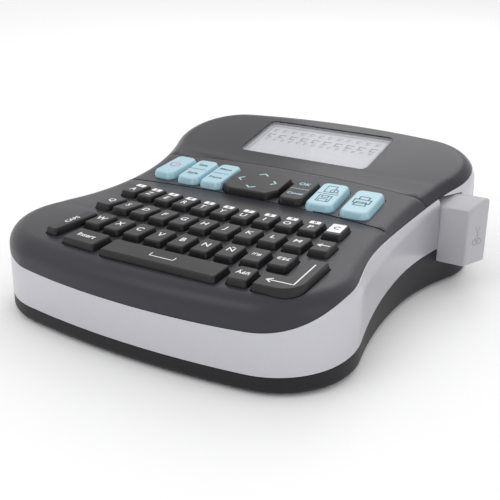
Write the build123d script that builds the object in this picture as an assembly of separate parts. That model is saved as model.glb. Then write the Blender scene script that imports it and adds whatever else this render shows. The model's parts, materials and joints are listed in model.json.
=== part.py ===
"""Desktop label maker: wedge-shaped case, arched keyboard, display and rear tape door.

Millimetres. +X is the operator's right, +Y points to the rear, +Z is up.
The origin is on the table, under the middle of the case.
"""
import math
import os

from build123d import *

os.makedirs("parts", exist_ok=True)

# ---------------------------------------------------------------- driving dimensions
FLOOR_Z = 0.8                  # underside of the case, clear of the table
CEILING_Z = 66.0               # above every part of the case
WALL = 2.4
TOP_WALL = 3.0
BAND_WALL = 4.4                # the band is thicker, because its upper edge rounds inwards
SEAM = 0.15                    # half of the gap between two fixed covers
HALF_SPAN = 120.0              # half of a cutting block that passes right across the case

# The right half of the plan is six tangent arcs. The left half mirrors it.
FRONT_Y, REAR_Y = -90.7, 90.7
FRONT_RADIUS, FRONT_ANGLE = 342.0, 8.4
FRONT_CORNER_RADIUS, FRONT_CORNER_ANGLE = 31.0, 105.0
WAIST_X = 68.2
WAIST_REAR_RADIUS, WAIST_REAR_ANGLE = 120.0, 20.0
REAR_CORNER_RADIUS = 30.0

# Side profiles, front to rear: (y, z).
TOP_FRONT_ARC = [(-95.0, 33.9), (-68.0, 36.3), (-42.0, 37.2)]
TOP_MIDDLE_ARC = [(-42.0, 37.2), (5.0, 39.2), (40.0, 45.0)]
TOP_REAR_LINE = [(40.0, 45.0), (95.0, 58.4)]
BAND_TOP_PROFILE = [(-95, 23.0), (-86, 24.2), (-70, 31.0), (-50, 34.2), (-10, 35.4), (20, 37.8),
                    (45, 43.0), (95, 48.6)]
BAND_FOOT_PROFILE = [(-95, 7.6), (-60, 9.4), (-20, 13.8), (20, 17.2), (95, 21.6)]
SHOULDER_RADIUS = 8.0          # rounding from the side walls into the top covers
SHOULDER_INNER_RADIUS = 5.2
SOLE_RADIUS = 3.0              # rounding from the side walls into the floor

# Seam between the keyboard cover and the display cover, bowed to the rear.
SEAM_Y = 32.2
SEAM_BOW = 0.0012
GROOVE_Y = -1.6                # groove in front of the function keys
GROOVE_BOW = 0.0012
GROOVE_WIDTH = 0.9
GROOVE_DEPTH = 0.9

# Keys
KEY_WIDTH = 8.1
KEY_DEPTH = 12.8
KEY_DRAFT = 0.65               # inset of the key's top on each side
KEY_HEIGHT = 2.6               # above the cover
KEY_SKIRT = 4.4                # below the cover
KEY_CORNER = 1.5
KEY_GAP = 0.35                 # between a key and its well
ROW_BOW = 0.0016               # rows are arcs: y grows by ROW_BOW * x * x
ROW_TURN = 0.6                 # share of the arc's slope that the keys turn with
WELL_DEPTH = 12.0

# name list, x of the first key, pitch, y on the centre line
ROW_ONE = (["key_a", "key_z", "key_e", "key_r", "key_t", "key_y", "key_u", "key_i", "key_o",
            "key_p", "key_clear"], -48.3, 9.8, -23.8)
ROW_TWO = (["key_q", "key_s", "key_d", "key_f", "key_g", "key_h", "key_j", "key_k", "key_l",
            "key_m", "key_backspace"], -46.1, 9.96, -42.9)
ROW_THREE = (["key_w", "key_x", "key_c", "key_v", "key_b", "key_n", "key_enye", "key_symbols",
              "key_currency"], -34.9, 10.3, -61.0)
LOWER_ROW_Y = -76.6
LOWER_ROW_DEPTH = 11.4
# name, x, width
LOWER_ROW = [("key_insert", -28.2, 16.6), ("key_space", 8.8, 50.8), ("key_accent", 41.1, 8.4)]
CAPS_X, CAPS_Y, CAPS_WIDTH, CAPS_DEPTH, CAPS_TURN = -44.3, -65.4, 6.4, 23.0, -8.0
ENTER_X, ENTER_Y = 55.4, -65.6
ENTER_WIDTH, ENTER_DEPTH = 17.4, 27.6
ENTER_ARM_WIDTH, ENTER_ARM_DEPTH = 8.2, 11.2
ENTER_CORNER = 9.0

FUNCTION_HEIGHT = 3.0
FUNCTION_DRAFT = 0.9
FUNCTION_CORNER = 3.4
# name, x, y, width, depth, turn in degrees about the cover's normal
FUNCTION_KEYS = [
    ("key_power", -50.2, 12.0, 11.6, 22.0, -2.0),
    ("key_format", -36.8, 11.4, 11.6, 22.8, 3.0),
    ("key_settings", -24.2, 11.2, 11.6, 22.8, 3.0),
    ("key_confirm", 17.2, 10.4, 11.8, 23.0, 3.0),
    ("key_preview", 30.6, 10.6, 13.2, 24.0, 5.0),
    ("key_print", 47.0, 9.8, 13.2, 23.6, 4.0),
]
NAV_X, NAV_Y, NAV_WIDTH, NAV_DEPTH, NAV_CHAMFER = -4.4, 10.8, 27.6, 23.6, 7.5

# Display
WINDOW_X, WINDOW_Y = -1.4, 60.0
WINDOW_WIDTH, WINDOW_DEPTH, WINDOW_CORNER = 67.0, 33.4, 3.2
WINDOW_RECESS = 0.5
WINDOW_THICKNESS = 1.4
PANEL_MARGIN = 1.2
PANEL_THICKNESS = 2.4
POCKET_RIM = 2.2

# Rear tape door, hinged along its lower edge
HINGE_Y, HINGE_Z = 89.2, 23.2
DOOR_REACH = 26.6              # radius of the door's top edge about the hinge
DOOR_HALF_WIDTH = 56.0
DOOR_GAP = 0.4
BARREL_RADIUS = 1.9
BARREL_HALF = 14.0
EAR_LENGTH = 5.0
PIN_RADIUS = 0.95
PIN_CLEARANCE = 0.06

# Cutter button on the right wall
CUTTER_Y, CUTTER_LENGTH = 42.6, 13.0
CUTTER_FOOT_Z, CUTTER_TOP_Z = 12.6, 41.0
CUTTER_INNER_X, CUTTER_FRONT_X, CUTTER_REAR_X = 68.0, 84.6, 89.4
CUTTER_GAP = 0.4
CUTTER_TRAVEL = 5.0

# Battery bay under the keyboard
CELL_RADIUS, CELL_LENGTH, CELL_PITCH = 7.2, 50.4, 15.0
CELL_ROWS = (-50.0, -35.0, -20.0)
CELL_Z = 11.4
BAY_HALF_WIDTH, BAY_FRONT, BAY_REAR, BAY_TOP = 54.0, -59.5, -10.5, 21.0
BAY_WALL = 1.6
BATTERY_DOOR_TRAVEL = 12.0
BATTERY_DOOR_CLEARANCE = 0.3

FEET = [(-58, -69), (58, -69), (-60, 60), (60, 60)]
FOOT_RADIUS = 6.0
FOOT_RECESS = 0.9
SCREWS = [(-64, -34), (64, -34), (-58, 30), (58, 24)]
SCREW_HEAD_RADIUS, SCREW_HEAD_HEIGHT = 2.7, 1.8
SCREW_SHANK_RADIUS, SCREW_LENGTH = 1.3, 13.0
BOSS_RADIUS, BOSS_TOP = 3.6, 15.0

BOARD_Z, BOARD_THICKNESS = 26.6, 1.6
JACK_Y, JACK_Z, JACK_RADIUS = 22.0, 28.6, 1.8

ROLLER_X, ROLLER_Y, ROLLER_RADIUS = 50.0, 60.0, 4.6
ROLLER_FOOT_Z, ROLLER_TOP_Z = 25.6, 40.0
SHAFT_RADIUS = 1.5
SHAFT_CLEARANCE = 0.05
PLATE_THICKNESS = 1.6
EXIT_Y, EXIT_WIDTH, EXIT_FOOT_Z, EXIT_TOP_Z = 64.8, 3.0, 26.0, 41.0

# Tape cassette, upright behind the display and just inside the rear door
CASSETTE_LOW, CASSETTE_HIGH = (-44.0, 63.5, 22.6), (36.0, 80.5, 44.4)
SPOOL_X = (-22.0, 10.0)
SHELF_X = (-40.0, -16.0, 6.0, 30.0)

MOTOR_X, MOTOR_Y, MOTOR_RADIUS = 34.0, 41.0, 8.0
SOCKET_HOLE_RADIUS = 1.85


# ---------------------------------------------------------------- helpers
def save(shape, node):
    """Write one sub-part to its own STEP file."""
    export_step(shape, f"parts/{node}.step")


def box(low, high):
    """Block between two corners."""
    size = [b - a for a, b in zip(low, high)]
    middle = [(a + b) / 2 for a, b in zip(low, high)]
    return Pos(*middle) * Box(*size)


def cylinder_z(x, y, low, high, radius):
    return Pos(x, y, (low + high) / 2) * Cylinder(radius, high - low)


def cylinder_x(y, z, low, high, radius):
    return Pos((low + high) / 2, y, z) * Rot(0, 90, 0) * Cylinder(radius, high - low)


def on_circle(centre, radius, degrees):
    """Point on a circle; the angle is measured from -Y towards +X."""
    angle = math.radians(degrees)
    return centre[0] + radius * math.sin(angle), centre[1] - radius * math.cos(angle)


def arc(centre, radius, start, end):
    points = [on_circle(centre, radius, angle) for angle in (start, (start + end) / 2, end)]
    return ThreePointArc(*points)


def outline(inset):
    """Closed plan outline of the case, moved in by an inset."""
    front = (0.0, FRONT_Y + FRONT_RADIUS)
    corner = on_circle(front, FRONT_RADIUS - FRONT_CORNER_RADIUS, FRONT_ANGLE)
    joint = on_circle(corner, FRONT_CORNER_RADIUS, FRONT_CORNER_ANGLE)
    waist_radius = (joint[0] - WAIST_X) / (1 - math.sin(math.radians(FRONT_CORNER_ANGLE)))
    waist = on_circle(corner, FRONT_CORNER_RADIUS + waist_radius, FRONT_CORNER_ANGLE)
    waist_rear = (WAIST_X + WAIST_REAR_RADIUS, waist[1])
    rear_joint_angle = 90.0 - WAIST_REAR_ANGLE
    reach = WAIST_REAR_RADIUS + REAR_CORNER_RADIUS
    rear_corner = on_circle(waist_rear, reach, 270.0 - WAIST_REAR_ANGLE)
    span = REAR_Y - rear_corner[1]
    rear_radius = (rear_corner[0] ** 2 + span ** 2 - REAR_CORNER_RADIUS ** 2) / (
        2 * (span - REAR_CORNER_RADIUS))
    rear = (0.0, REAR_Y - rear_radius)
    rear_angle = math.degrees(math.atan2(rear_corner[0], rear_corner[1] - rear[1]))
    edges = [
        arc(front, FRONT_RADIUS - inset, -FRONT_ANGLE, FRONT_ANGLE),
        arc(corner, FRONT_CORNER_RADIUS - inset, FRONT_ANGLE, FRONT_CORNER_ANGLE),
        arc(waist, waist_radius + inset, 180.0 + FRONT_CORNER_ANGLE, 270.0),
        arc(waist_rear, WAIST_REAR_RADIUS + inset, 270.0, 180.0 + rear_joint_angle),
        arc(rear_corner, REAR_CORNER_RADIUS - inset, rear_joint_angle, 180.0 - rear_angle),
    ]
    left = [edge.mirror(Plane.YZ) for edge in reversed(edges[1:])]
    rear_edge = arc(rear, rear_radius - inset, 180.0 - rear_angle, 180.0 + rear_angle)
    return Wire(edges + [rear_edge] + left)


def envelope(inset, low=FLOOR_Z):
    """Case body with straight walls, from a level up to above the covers."""
    return Pos(0, 0, low) * extrude(Face(outline(inset)), amount=CEILING_Z - low)


def across(curves, first, last):
    """Everything under a chain of side curves, right across the case."""
    front = (-HALF_SPAN, first, -10)
    rear = (-HALF_SPAN, last, -10)
    edges = list(curves) + [Line(curves[-1] @ 1, rear), Line(rear, front), Line(front, curves[0] @ 0)]
    return extrude(Face(Wire(edges)), amount=2 * HALF_SPAN, dir=(1, 0, 0))


def below(profile, drop=0.0):
    curve = Spline(*[(-HALF_SPAN, y, z - drop) for y, z in profile])
    return across([curve], profile[0][0], profile[-1][0])


def below_top(drop=0.0):
    """Everything under the top cover's surface."""
    front, middle, rear = [[(-HALF_SPAN, y, z - drop) for y, z in part]
                           for part in (TOP_FRONT_ARC, TOP_MIDDLE_ARC, TOP_REAR_LINE)]
    curves = [ThreePointArc(*front), ThreePointArc(*middle), Line(*rear)]
    return across(curves, TOP_FRONT_ARC[0][0], TOP_REAR_LINE[-1][0])


def circle_height(points, y):
    """Height of the circle through three points, on the side that holds them."""
    (y1, z1), (y2, z2), (y3, z3) = points
    turn = 2 * (y1 * (z2 - z3) + y2 * (z3 - z1) + y3 * (z1 - z2))
    squares = [y * y + z * z for y, z in points]
    middle_y = (squares[0] * (z2 - z3) + squares[1] * (z3 - z1) + squares[2] * (z1 - z2)) / turn
    middle_z = (squares[0] * (y3 - y2) + squares[1] * (y1 - y3) + squares[2] * (y2 - y1)) / turn
    radius = math.hypot(y2 - middle_y, z2 - middle_z)
    side = 1 if z2 > middle_z else -1
    return middle_z + side * math.sqrt(radius ** 2 - (y - middle_y) ** 2)


def cover_height(y):
    """Height of the top cover at a place along the case."""
    if y < TOP_MIDDLE_ARC[0][0]:
        return circle_height(TOP_FRONT_ARC, y)
    if y < TOP_REAR_LINE[0][0]:
        return circle_height(TOP_MIDDLE_ARC, y)
    (y1, z1), (y2, z2) = TOP_REAR_LINE
    return z1 + (z2 - z1) * (y - y1) / (y2 - y1)


def ahead_of(seam_y, bow, shift=0.0):
    """Everything in front of an arc across the case, from the table to above it."""
    span = 100.0
    middle = (0, seam_y + shift)
    ends = [(side * span, seam_y + shift - bow * span * span) for side in (1, -1)]
    arc = ThreePointArc(ends[0], middle, ends[1])
    corners = [(-span, -HALF_SPAN), (span, -HALF_SPAN)]
    edges = [arc, Line(ends[1], corners[0]), Line(corners[0], corners[1]), Line(corners[1], ends[0])]
    return extrude(Face(Wire(edges)), amount=CEILING_Z + 10)


def surface_frame(x, y, turn=0.0):
    """Plane on the top cover, its z axis along the cover's normal."""
    step = 0.5
    rise = cover_height(y + step) - cover_height(y - step)
    normal = Vector(0, -rise, 2 * step).normalized()
    plane = Plane(origin=(x, y, cover_height(y)), x_dir=(1, 0, 0), z_dir=normal)
    return plane.rotated((0, 0, turn))


def key_cap(sketch, draft, height):
    """Key with a straight skirt in its well and drafted sides above the cover."""
    skirt = Pos(0, 0, -KEY_SKIRT) * extrude(sketch, amount=KEY_SKIRT + 0.4)
    taper = math.degrees(math.atan2(draft, height - 0.4))
    return skirt + Pos(0, 0, 0.4) * extrude(sketch, amount=height - 0.4, taper=taper)


def rounded_key(width, depth, corner, draft, height):
    return key_cap(RectangleRounded(width, depth, corner), draft, height)


def rounded_well(width, depth, corner):
    sketch = RectangleRounded(width + 2 * KEY_GAP, depth + 2 * KEY_GAP, corner + KEY_GAP)
    return Pos(0, 0, -WELL_DEPTH / 2) * extrude(sketch, amount=WELL_DEPTH)


def enter_sketch(step=0.0):
    """L shape: a tall column on the right and an arm along the front."""
    left, right = -ENTER_WIDTH / 2 - step, ENTER_WIDTH / 2 + step
    front, rear = -ENTER_DEPTH / 2 - step, ENTER_DEPTH / 2 + step
    inner_x = ENTER_WIDTH / 2 - ENTER_ARM_WIDTH - step
    inner_y = -ENTER_DEPTH / 2 + ENTER_ARM_DEPTH + step
    outline = Polyline((left, front), (right, front), (right, rear), (inner_x, rear),
                       (inner_x, inner_y), (left, inner_y), close=True)
    face = make_face(outline)
    outer = face.vertices().sort_by_distance((right, front, 0))[0]
    face = fillet(outer, ENTER_CORNER)
    others = [v for v in face.vertices() if min(abs(v.X - left), abs(v.X - inner_x)) < 0.01]
    others += [v for v in face.vertices() if abs(v.Y - rear) < 0.01 and abs(v.X - right) < 0.01]
    return fillet(others, 1.2)


def nav_sketch(step=0.0):
    """Rectangle with long chamfered corners."""
    face = Rectangle(NAV_WIDTH + 2 * step, NAV_DEPTH + 2 * step)
    face = chamfer(face.vertices(), NAV_CHAMFER * 0.5, NAV_CHAMFER * 0.72)
    return fillet(face.vertices(), 1.6)


# ---------------------------------------------------------------- keys and their wells
def row_keys():
    """Yield (name, frame, width, depth, corner) for the keys with a rounded outline."""
    for names, first_x, pitch, middle_y in (ROW_ONE, ROW_TWO, ROW_THREE):
        for column, name in enumerate(names):
            x = first_x + column * pitch
            turn = math.degrees(2 * ROW_BOW * x) * ROW_TURN
            frame = surface_frame(x, middle_y + ROW_BOW * x * x, turn)
            yield name, frame, KEY_WIDTH, KEY_DEPTH, KEY_CORNER
    for name, x, width in LOWER_ROW:
        turn = math.degrees(2 * ROW_BOW * x) * ROW_TURN
        frame = surface_frame(x, LOWER_ROW_Y + ROW_BOW * x * x, turn)
        yield name, frame, width, LOWER_ROW_DEPTH, KEY_CORNER
    yield "key_caps", surface_frame(CAPS_X, CAPS_Y, CAPS_TURN), CAPS_WIDTH, CAPS_DEPTH, KEY_CORNER


def make_keys():
    """Build every key, and return them with one well for each."""
    keys, wells, shapes = {}, [], {}
    for name, frame, width, depth, corner in row_keys():
        if (width, depth) not in shapes:
            shapes[width, depth] = (
                rounded_key(width, depth, corner, KEY_DRAFT, KEY_HEIGHT),
                rounded_well(width, depth, corner))
        key, well = shapes[width, depth]
        keys[name] = frame.location * key
        wells.append(frame.location * well)
    for name, x, y, width, depth, turn in FUNCTION_KEYS:
        frame = surface_frame(x, y, turn)
        key = rounded_key(width, depth, FUNCTION_CORNER, FUNCTION_DRAFT, FUNCTION_HEIGHT)
        keys[name] = frame.location * key
        wells.append(frame.location * rounded_well(width, depth, FUNCTION_CORNER))
    for name, x, y, sketch, draft, height in (
            ("key_enter", ENTER_X, ENTER_Y, enter_sketch, KEY_DRAFT, KEY_HEIGHT),
            ("key_arrows", NAV_X, NAV_Y, nav_sketch, FUNCTION_DRAFT, FUNCTION_HEIGHT)):
        frame = surface_frame(x, y, 3.0)
        keys[name] = frame.location * key_cap(sketch(), draft, height)
        well = extrude(sketch(KEY_GAP), amount=WELL_DEPTH)
        wells.append(frame.location * Pos(0, 0, -WELL_DEPTH / 2) * well)
    return keys, wells


# ---------------------------------------------------------------- covers and shells
def shouldered(body, radius):
    """Round the edge between the side walls and the top of a body."""
    edges = [edge for edge in body.edges() if edge.bounding_box().min.Z > 20]
    return fillet([edge for edge in edges if edge.bounding_box().size.Z > 0.01], radius)


def case_solids():
    """Outer case up to the covers, and the space inside its walls."""
    outer = shouldered(envelope(0.0) & below_top(), SHOULDER_RADIUS)
    sole = [edge for edge in outer.edges() if edge.bounding_box().max.Z < FLOOR_Z + 0.1]
    inner = envelope(WALL, FLOOR_Z + WALL)
    return fillet(sole, SOLE_RADIUS), inner


def band_of(low_profile, high_profile, seam=SEAM):
    """Region between two side profiles, right across the case."""
    return below(high_profile, seam) - below(low_profile, -seam)


def hinge_cylinder(radius, half_width):
    return cylinder_x(HINGE_Y, HINGE_Z, -half_width, half_width, radius)


def door_region(grow=0.0):
    """Space that the tape door takes in the rear wall."""
    half = DOOR_HALF_WIDTH + grow
    block = box((-half, HINGE_Y - DOOR_REACH - grow, 0), (half, HALF_SPAN, CEILING_Z))
    return (hinge_cylinder(DOOR_REACH + grow, half) & block) - below(BAND_FOOT_PROFILE, grow)


def hinge_seat():
    return hinge_cylinder(BARREL_RADIUS + 0.3, BARREL_HALF + EAR_LENGTH + 0.9)


def cutter_outline(grow=0.0):
    front = CUTTER_Y - CUTTER_LENGTH / 2 - grow
    rear = CUTTER_Y + CUTTER_LENGTH / 2 + grow
    return Polyline((CUTTER_INNER_X, front), (CUTTER_FRONT_X + grow, front),
                    (CUTTER_REAR_X + grow, rear), (CUTTER_INNER_X, rear), close=True)


def cutter_opening():
    return box((CUTTER_INNER_X - 4, CUTTER_Y - CUTTER_LENGTH / 2 - CUTTER_GAP,
                CUTTER_FOOT_Z - CUTTER_GAP),
               (HALF_SPAN, CUTTER_Y + CUTTER_LENGTH / 2 + CUTTER_GAP, CUTTER_TOP_Z + CUTTER_GAP))


def exit_slot():
    return box((60, EXIT_Y - EXIT_WIDTH / 2, EXIT_FOOT_Z),
               (HALF_SPAN, EXIT_Y + EXIT_WIDTH / 2, EXIT_TOP_Z))


def window_frame():
    return surface_frame(WINDOW_X, WINDOW_Y)


def make_lower_shell(outer, inner):
    shell = (outer & below(BAND_FOOT_PROFILE, SEAM)) - inner
    bay = box((-BAY_HALF_WIDTH - BAY_WALL, BAY_FRONT - BAY_WALL, FLOOR_Z + 1),
              (BAY_HALF_WIDTH + BAY_WALL, BAY_REAR + BAY_WALL, BAY_TOP + BAY_WALL))
    shell = shell + bay
    for x, y in SCREWS:
        shell = shell + cylinder_z(x, y, FLOOR_Z + 1, BOSS_TOP, BOSS_RADIUS)
    for x in SHELF_X:
        shell = shell + box((x, 63.0, FLOOR_Z + 1), (x + 1.6, 83.0, CASSETTE_LOW[2] - 0.1))
    shell = shell - box((-BAY_HALF_WIDTH, BAY_FRONT, -1), (BAY_HALF_WIDTH, BAY_REAR, BAY_TOP))
    shell = shell - battery_door_shape(BATTERY_DOOR_CLEARANCE)
    for x, y in SCREWS:
        shell = shell - cylinder_z(x, y, 0, FLOOR_Z + SCREW_HEAD_HEIGHT + 0.2, SCREW_HEAD_RADIUS + 0.2)
        shell = shell - cylinder_z(x, y, 0, FLOOR_Z + SCREW_LENGTH + 0.6, SCREW_SHANK_RADIUS + 0.05)
    for x, y in FEET:
        shell = shell - cylinder_z(x, y, 0, FLOOR_Z + FOOT_RECESS, FOOT_RADIUS + 0.1)
    shell = shell - hinge_seat()
    for side in (-1, 1):
        low, high = sorted((side * (BARREL_HALF + 0.3), side * (BARREL_HALF + EAR_LENGTH)))
        ear = cylinder_x(HINGE_Y, HINGE_Z, low, high, BARREL_RADIUS)
        post = box((low, HINGE_Y - 1.6, HINGE_Z - 5.2), (high, HINGE_Y + 0.6, HINGE_Z))
        bore = cylinder_x(HINGE_Y, HINGE_Z, low - 1, high + 1, PIN_RADIUS + PIN_CLEARANCE)
        shell = shell + ((ear + post) - bore)
    return shell - cutter_opening() - exit_slot()


def battery_door_shape(grow=0.0):
    """Sliding cover: a plate in the floor, with a tongue that runs on above the floor's rear edge."""
    plate = box((-BAY_HALF_WIDTH - 1 - grow, BAY_FRONT - 1.0 - grow, FLOOR_Z - 2 * grow),
                (BAY_HALF_WIDTH + 1 + grow, BAY_REAR + BATTERY_DOOR_TRAVEL * (grow > 0) + grow,
                 FLOOR_Z + 1.6 + grow))
    return plate


def make_band(outer):
    band = outer & band_of(BAND_FOOT_PROFILE, BAND_TOP_PROFILE)
    band = band - envelope(BAND_WALL, FLOOR_Z)
    socket = cylinder_x(JACK_Y, JACK_Z, -HALF_SPAN, 0, SOCKET_HOLE_RADIUS)
    band = band - door_region(DOOR_GAP + SEAM) - hinge_seat() - socket
    return band - cutter_opening() - exit_slot()


def make_top_covers(outer, wells):
    """Keyboard cover and display cover, parted along the bowed seam."""
    hollow = shouldered(envelope(WALL) & below_top(TOP_WALL), SHOULDER_INNER_RADIUS)
    cap = (outer - below(BAND_TOP_PROFILE, -SEAM)) - hollow
    keyboard = cap & ahead_of(SEAM_Y, SEAM_BOW, -SEAM)
    display = cap - ahead_of(SEAM_Y, SEAM_BOW, SEAM)
    display = display - door_region(DOOR_GAP) - cutter_opening()

    groove = ahead_of(GROOVE_Y, GROOVE_BOW, GROOVE_WIDTH) - ahead_of(GROOVE_Y, GROOVE_BOW)
    keyboard = keyboard - (groove - below_top(GROOVE_DEPTH))
    keyboard = keyboard - wells

    frame = window_frame().location
    rim_width = WINDOW_WIDTH + 2 * (PANEL_MARGIN + POCKET_RIM)
    rim_depth = WINDOW_DEPTH + 2 * (PANEL_MARGIN + POCKET_RIM)
    rim_low = WINDOW_RECESS + WINDOW_THICKNESS + PANEL_THICKNESS + 1.0
    rim = extrude(Rectangle(rim_width, rim_depth), amount=rim_low - 2.0)
    display = display + ((frame * Pos(0, 0, -rim_low) * rim) & outer)
    pocket = extrude(Rectangle(WINDOW_WIDTH + 2 * PANEL_MARGIN + 0.3,
                               WINDOW_DEPTH + 2 * PANEL_MARGIN + 0.3), amount=10)
    pocket_top = -(WINDOW_RECESS + WINDOW_THICKNESS)
    display = display - frame * Pos(0, 0, pocket_top - 10) * pocket
    opening = extrude(RectangleRounded(WINDOW_WIDTH + 0.3, WINDOW_DEPTH + 0.3, WINDOW_CORNER), amount=8)
    display = display - frame * Pos(0, 0, -4) * opening
    return keyboard, display


def make_window():
    plate = extrude(RectangleRounded(WINDOW_WIDTH, WINDOW_DEPTH, WINDOW_CORNER - 0.1), amount=WINDOW_THICKNESS)
    return window_frame().location * Pos(0, 0, -WINDOW_RECESS - WINDOW_THICKNESS) * plate


def make_panel():
    panel = Box(WINDOW_WIDTH + 2 * PANEL_MARGIN, WINDOW_DEPTH + 2 * PANEL_MARGIN, PANEL_THICKNESS)
    low = -WINDOW_RECESS - WINDOW_THICKNESS - 0.1 - PANEL_THICKNESS / 2
    return window_frame().location * Pos(0, 0, low) * panel


# ---------------------------------------------------------------- doors and cutter
def make_tape_door(outer, inner):
    panel = (outer - inner) & door_region(-SEAM)
    arm = box((-BARREL_HALF, HINGE_Y - 1.5, HINGE_Z), (BARREL_HALF, HINGE_Y + 0.5, HINGE_Z + 4))
    barrel = cylinder_x(HINGE_Y, HINGE_Z, -BARREL_HALF, BARREL_HALF, BARREL_RADIUS)
    pin = cylinder_x(HINGE_Y, HINGE_Z, -BARREL_HALF - EAR_LENGTH, BARREL_HALF + EAR_LENGTH,
                     PIN_RADIUS)
    reach = BARREL_RADIUS + 0.35
    for side in (-1, 1):
        low, high = sorted((side * BARREL_HALF, side * (BARREL_HALF + EAR_LENGTH + 0.5)))
        panel = panel - box((low, HINGE_Y - reach, 0), (high, HALF_SPAN, HINGE_Z + reach))
    return panel + arm + barrel + pin


def make_cutter_button():
    """Push button: its outer face is angled, and its top rises to the rear."""
    body = extrude(make_face(cutter_outline()), amount=CUTTER_TOP_Z - CUTTER_FOOT_Z)
    body = Pos(0, 0, CUTTER_FOOT_Z) * body
    front = CUTTER_Y - CUTTER_LENGTH / 2
    slope = Plane(origin=(0, front, CUTTER_TOP_Z - 3.4), x_dir=(1, 0, 0), z_dir=(0, -0.36, 1))
    body = split(body, slope, keep=Keep.BOTTOM)
    outside = body.edges().filter_by(lambda edge: edge.center().X > CUTTER_FRONT_X - 6)
    body = fillet(outside, 1.3)
    guide = box((CUTTER_INNER_X - 9, CUTTER_Y - 4, 20), (CUTTER_INNER_X + 1, CUTTER_Y + 4, 32))
    slot = box((CUTTER_INNER_X - 10, CUTTER_Y - 0.35, 16), (CUTTER_INNER_X - 2, CUTTER_Y + 0.35, 36))
    return body + guide - slot


def make_cutter_blade():
    """Slanted blade in the button's guide."""
    edge_x = CUTTER_INNER_X - 13
    outline = Polyline((edge_x + 3, 20.5), (CUTTER_INNER_X - 2.2, 20.5), (CUTTER_INNER_X - 2.2, 31.5),
                       (edge_x, 31.5), close=True)
    blade = extrude(make_face(Plane.XZ * outline), amount=0.3, both=True)
    return Pos(0, CUTTER_Y, 0) * blade


# ---------------------------------------------------------------- inside parts
def make_batteries():
    cells = []
    for side in (-1, 1):
        for y in CELL_ROWS:
            x = side * (CELL_LENGTH / 2 + 0.6)
            body = cylinder_x(y, CELL_Z, x - CELL_LENGTH / 2, x + CELL_LENGTH / 2 - 1.4, CELL_RADIUS)
            cap = cylinder_x(y, CELL_Z, x + CELL_LENGTH / 2 - 1.4, x + CELL_LENGTH / 2, 2.7)
            cells.append(body + cap)
    return Compound(children=cells)


def make_board():
    """Key board with its controller, driver and the power socket soldered to it."""
    top = BOARD_Z + BOARD_THICKNESS
    board = box((-56, -74, BOARD_Z), (56, 27, top))
    controller = box((-30, 5, top), (-14, 21, top + 1.4))
    driver = box((18, 8, top), (28, 18, top + 1.6))
    coil = cylinder_z(38, 16, top, top + 4.0, 4.0)
    jack = box((-64.4, JACK_Y - 4.5, BOARD_Z - 3), (-52, JACK_Y + 4.5, BOARD_Z + 6.5))
    bore = cylinder_x(JACK_Y, JACK_Z, -66, -55, JACK_RADIUS)
    return board + controller + driver + coil + jack - bore


def make_cassette():
    """Tape cassette with its spool hubs and the small window that shows the tape left."""
    rear, middle_z = CASSETTE_HIGH[1], (CASSETTE_LOW[2] + CASSETTE_HIGH[2]) / 2
    body = box(CASSETTE_LOW, CASSETTE_HIGH)
    body = fillet(body.edges().filter_by(Axis.Y), 3.0)
    for x in SPOOL_X:
        body = body - Pos(x, rear, middle_z) * Rot(90, 0, 0) * Cylinder(5.0, 3.0)
        hub = Cylinder(4.0, 3.0) - Cylinder(2.2, 3.0)
        body = body + Pos(x, rear - 1.5, middle_z) * Rot(90, 0, 0) * hub
    window = box((-12, rear - 0.6, middle_z - 7), (0, rear + 1, middle_z + 7))
    return body - window


def make_roller():
    rubber = cylinder_z(ROLLER_X, ROLLER_Y, ROLLER_FOOT_Z, ROLLER_TOP_Z, ROLLER_RADIUS)
    shaft = cylinder_z(ROLLER_X, ROLLER_Y, ROLLER_FOOT_Z - 3.4, ROLLER_TOP_Z + 3.4, SHAFT_RADIUS)
    return rubber + shaft


def make_print_engine():
    """Chassis plates, thermal head on its cooling plate, and the drive motor."""
    low_z, high_z = ROLLER_FOOT_Z - 0.6, ROLLER_TOP_Z + 0.6
    low = box((41, 50, low_z - PLATE_THICKNESS), (59, 78, low_z))
    high = box((41, 50, high_z), (59, 78, high_z + PLATE_THICKNESS))
    spine = box((41, 76.4, low_z), (59, 78, high_z))
    head = box((47, 65.2, low_z), (53, 67.4, high_z))
    cooler = box((46, 67.4, low_z), (54, 76.6, high_z))
    chassis = low + high + spine + head + cooler
    post = box((41, 74, FLOOR_Z + WALL), (59, 78, low_z))
    foot = box((MOTOR_X - 6, MOTOR_Y - 8, FLOOR_Z + WALL), (59, 49, 6.4))
    foot = foot + box((41, 48, FLOOR_Z + WALL), (59, 77, 6.4))
    motor = cylinder_z(MOTOR_X, MOTOR_Y, 6.0, 22.0, MOTOR_RADIUS)
    motor = motor + cylinder_z(MOTOR_X, MOTOR_Y, 22.0, 25.0, 3.0)
    bore = cylinder_z(ROLLER_X, ROLLER_Y, ROLLER_FOOT_Z - 6, 60, SHAFT_RADIUS + SHAFT_CLEARANCE)
    return chassis + post + foot + motor - bore


def make_feet():
    feet = [cylinder_z(x, y, 0, FLOOR_Z + FOOT_RECESS, FOOT_RADIUS) for x, y in FEET]
    return Compound(children=feet)


def make_screws():
    screws = []
    for x, y in SCREWS:
        head = cylinder_z(x, y, FLOOR_Z + 0.2, FLOOR_Z + SCREW_HEAD_HEIGHT, SCREW_HEAD_RADIUS)
        shank = cylinder_z(x, y, FLOOR_Z + 1.0, FLOOR_Z + SCREW_LENGTH, SCREW_SHANK_RADIUS)
        cross = box((x - 1.5, y - 0.3, 0), (x + 1.5, y + 0.3, FLOOR_Z + 0.9))
        cross = cross + box((x - 0.3, y - 1.5, 0), (x + 0.3, y + 1.5, FLOOR_Z + 0.9))
        screws.append(head + shank - cross)
    return Compound(children=screws)


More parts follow.
